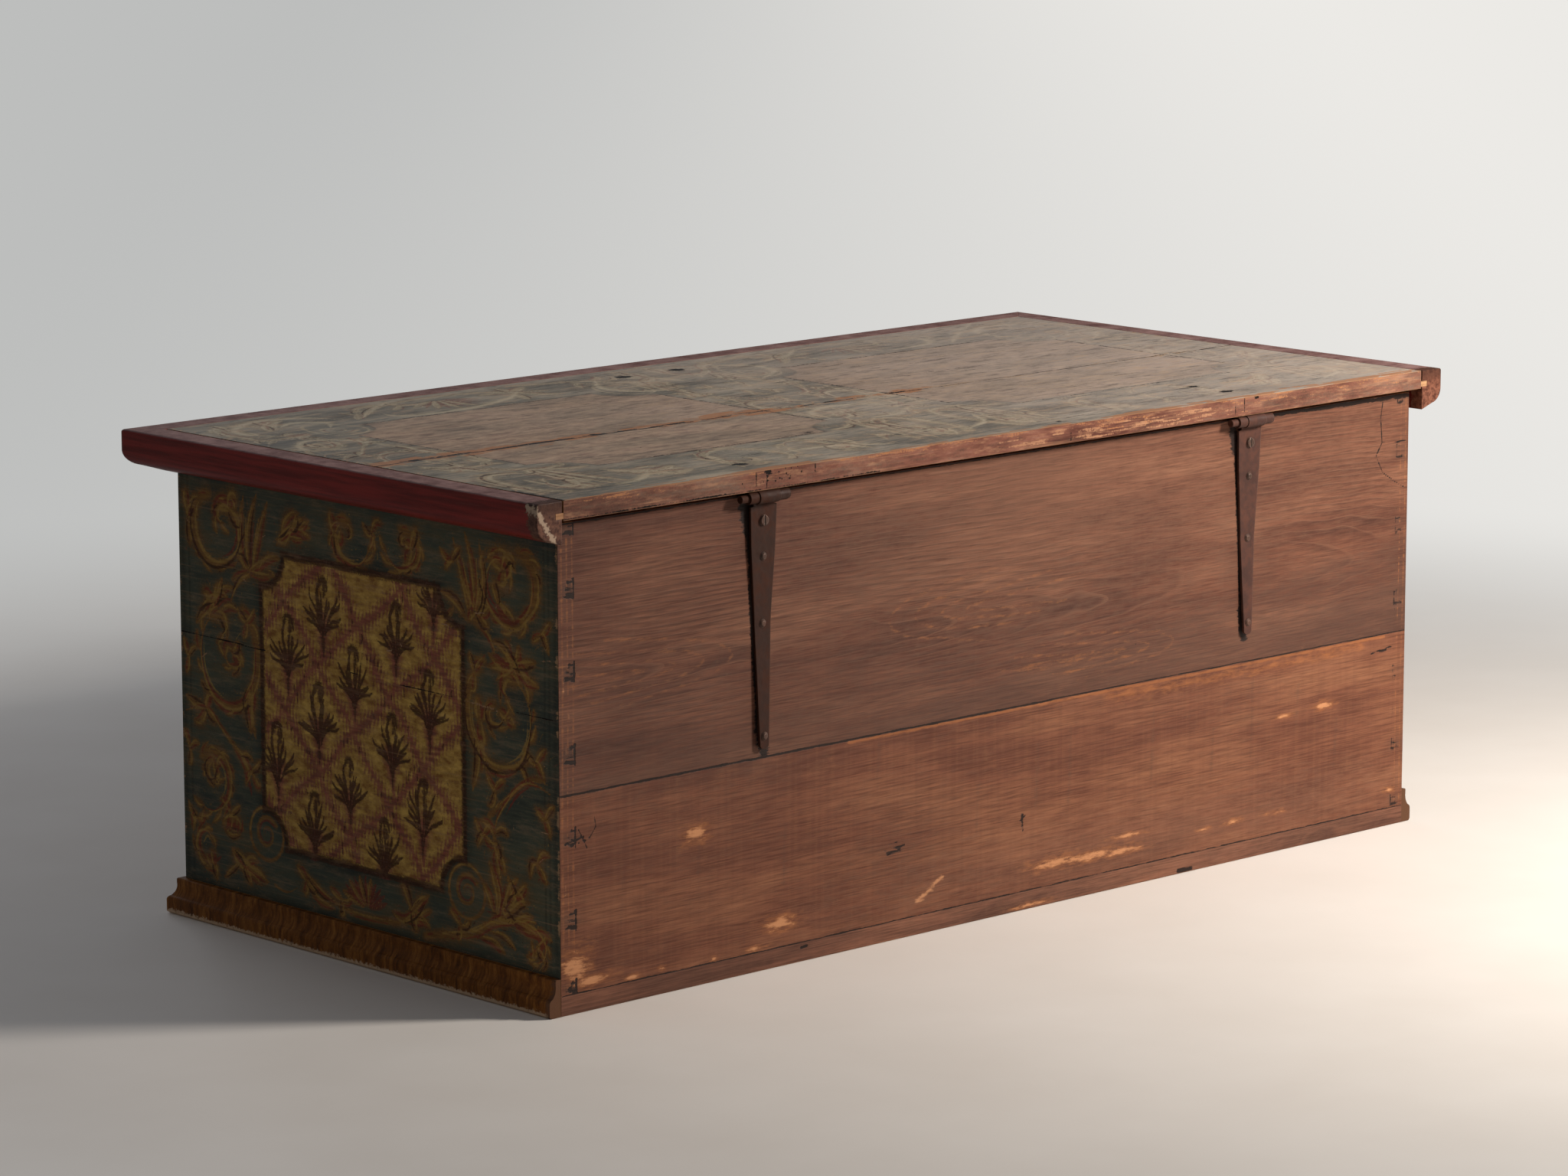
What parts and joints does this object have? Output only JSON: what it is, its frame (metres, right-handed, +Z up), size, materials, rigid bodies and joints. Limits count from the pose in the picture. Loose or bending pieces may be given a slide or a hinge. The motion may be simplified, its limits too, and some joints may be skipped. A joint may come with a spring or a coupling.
{
  "type": "wedding chest",
  "caption": "Flat-lidded dovetailed pine chest with a painted end and lid, moulded edges, an open till, a lock and forged strap hinges.",
  "frame": {"origin": "on the floor, under the middle of the whole chest", "axes": "+X along the chest to its right-hand end, -Y out of the front, the hinges are at +Y, +Z up"},
  "size_m": [1.346, 0.6685, 0.52],
  "materials": {
    "painted_front": "aged blue-green paint over pine",
    "bare_pine": "bare aged pine",
    "painted_end": "aged blue-green paint with scrollwork",
    "bottom_pine": "bare aged pine",
    "dowel_wood": "bare wood",
    "grained_moulding": "brown graining, worn",
    "till_pine": "bare pine",
    "painted_lid": "worn grey-green paint with tan panels",
    "red_moulding": "worn dark red paint",
    "forged_iron": "forged, dark",
    "iron_fixings": "forged, rubbed"
  },
  "bodies": {
    "chest": {"front_board_upper": "painted_front", "front_board_lower": "painted_front", "back_board_upper": "bare_pine", "back_board_lower": "bare_pine", "end_right_upper": "painted_end", "end_right_lower": "painted_end", "end_left_upper": "painted_end", "end_left_lower": "painted_end", "bottom_board_front": "bottom_pine", "bottom_board_middle": "bottom_pine", "bottom_board_back": "bottom_pine", "wall_dowels": "dowel_wood", "bottom_pegs": "dowel_wood", "base_moulding_front": "grained_moulding", "base_moulding_right": "grained_moulding", "base_moulding_left": "grained_moulding", "till_side": "till_pine", "till_bottom": "till_pine", "hinge_right_back_strap": "forged_iron", "hinge_right_pin": "iron_fixings", "hinge_left_back_strap": "forged_iron", "hinge_left_pin": "iron_fixings", "hinge_screws": "iron_fixings", "hinge_back_nails": "iron_fixings", "lock_plate": "forged_iron", "lock_case": "forged_iron", "bolt_guide_right": "forged_iron", "bolt_guide_left": "forged_iron", "lock_nails": "iron_fixings"},
    "lid": {"lid_board_front": "painted_lid", "lid_board_back": "painted_lid", "lid_dowels": "dowel_wood", "lid_edge_front": "red_moulding", "lid_edge_right": "red_moulding", "lid_edge_left": "red_moulding", "hinge_right_lid_leaf": "forged_iron", "hinge_left_lid_leaf": "forged_iron", "hinge_lid_nails": "iron_fixings", "staple_plate": "forged_iron", "staple_loop": "iron_fixings", "staple_nails": "iron_fixings"},
    "bolt": {"lock_bolt": "iron_fixings"}
  },
  "joints": [
    {"name": "lid_hinge", "type": "hinge", "parent": "chest", "child": "lid", "pos_m": [0, 0.31245, 0.4925], "axis": [-1, 0, 0], "range_deg": [0, 105]},
    {"name": "bolt_slide", "type": "slide", "parent": "chest", "child": "bolt", "axis": [1, 0, 0], "range_m": [0, 0.018]}
  ]
}
